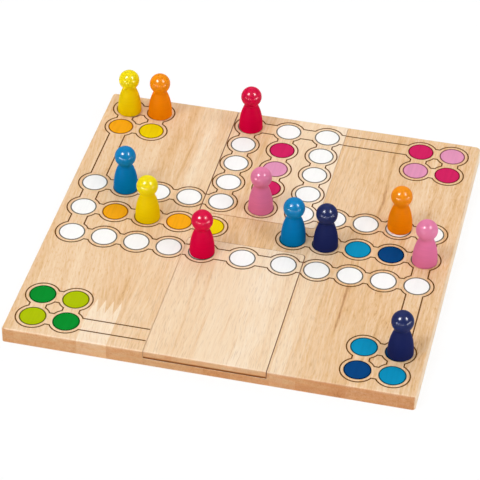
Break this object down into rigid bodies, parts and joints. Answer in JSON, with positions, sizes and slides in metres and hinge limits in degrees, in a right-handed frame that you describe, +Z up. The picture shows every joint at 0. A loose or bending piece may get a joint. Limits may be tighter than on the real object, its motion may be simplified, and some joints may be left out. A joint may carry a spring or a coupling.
{
  "type": "ludo board game",
  "caption": "Square solid wood ludo board with two reversible inserts in open recesses, and turned pawns standing on its fields.",
  "frame": {"origin": "on the underside of the board, at the middle of its outline", "axes": "+Z up out of the printed side, +Y to the back edge, +X to the right"},
  "size_m": [0.2404, 0.239, 0.0409],
  "materials": {
    "board_wood": "pale rubberwood, edge-glued staves, thin satin varnish",
    "insert_wood": "paler rubberwood, thin satin varnish",
    "yellow_paint": "glossy paint on turned wood",
    "orange_paint": "glossy paint on turned wood",
    "light_blue_paint": "glossy paint on turned wood",
    "dark_blue_paint": "glossy paint on turned wood",
    "crimson_paint": "glossy paint on turned wood",
    "pink_paint": "glossy paint on turned wood"
  },
  "bodies": {
    "board": {"board": "board_wood"},
    "front_insert": {"front_insert": "insert_wood"},
    "back_insert": {"back_insert": "insert_wood"},
    "pawn_yellow_1": {"pawn_yellow_1": "yellow_paint"},
    "pawn_yellow_2": {"pawn_yellow_2": "yellow_paint"},
    "pawn_orange_1": {"pawn_orange_1": "orange_paint"},
    "pawn_orange_2": {"pawn_orange_2": "orange_paint"},
    "pawn_light_blue_1": {"pawn_light_blue_1": "light_blue_paint"},
    "pawn_light_blue_2": {"pawn_light_blue_2": "light_blue_paint"},
    "pawn_dark_blue_1": {"pawn_dark_blue_1": "dark_blue_paint"},
    "pawn_dark_blue_2": {"pawn_dark_blue_2": "dark_blue_paint"},
    "pawn_crimson_1": {"pawn_crimson_1": "crimson_paint"},
    "pawn_crimson_2": {"pawn_crimson_2": "crimson_paint"},
    "pawn_pink_1": {"pawn_pink_1": "pink_paint"},
    "pawn_pink_2": {"pawn_pink_2": "pink_paint"}
  },
  "joints": [
    {"name": "front_insert_lift", "type": "slide", "parent": "board", "child": "front_insert", "axis": [0, 0, 1], "range_m": [0, 0.03]},
    {"name": "back_insert_lift", "type": "slide", "parent": "board", "child": "back_insert", "axis": [0, 0, 1], "range_m": [0, 0.03]},
    {"name": "pawn_yellow_1_lift", "type": "slide", "parent": "board", "child": "pawn_yellow_1", "axis": [0, 0, 1], "range_m": [0, 0.05]},
    {"name": "pawn_yellow_2_lift", "type": "slide", "parent": "board", "child": "pawn_yellow_2", "axis": [0, 0, 1], "range_m": [0, 0.05]},
    {"name": "pawn_orange_1_lift", "type": "slide", "parent": "board", "child": "pawn_orange_1", "axis": [0, 0, 1], "range_m": [0, 0.05]},
    {"name": "pawn_orange_2_lift", "type": "slide", "parent": "board", "child": "pawn_orange_2", "axis": [0, 0, 1], "range_m": [0, 0.05]},
    {"name": "pawn_light_blue_1_lift", "type": "slide", "parent": "board", "child": "pawn_light_blue_1", "axis": [0, 0, 1], "range_m": [0, 0.05]},
    {"name": "pawn_light_blue_2_lift", "type": "slide", "parent": "board", "child": "pawn_light_blue_2", "axis": [0, 0, 1], "range_m": [0, 0.05]},
    {"name": "pawn_dark_blue_1_lift", "type": "slide", "parent": "board", "child": "pawn_dark_blue_1", "axis": [0, 0, 1], "range_m": [0, 0.05]},
    {"name": "pawn_dark_blue_2_lift", "type": "slide", "parent": "board", "child": "pawn_dark_blue_2", "axis": [0, 0, 1], "range_m": [0, 0.05]},
    {"name": "pawn_crimson_1_lift", "type": "slide", "parent": "front_insert", "child": "pawn_crimson_1", "axis": [0, 0, 1], "range_m": [0, 0.05]},
    {"name": "pawn_crimson_2_lift", "type": "slide", "parent": "back_insert", "child": "pawn_crimson_2", "axis": [0, 0, 1], "range_m": [0, 0.05]},
    {"name": "pawn_pink_1_lift", "type": "slide", "parent": "back_insert", "child": "pawn_pink_1", "axis": [0, 0, 1], "range_m": [0, 0.05]},
    {"name": "pawn_pink_2_lift", "type": "slide", "parent": "board", "child": "pawn_pink_2", "axis": [0, 0, 1], "range_m": [0, 0.05]}
  ]
}
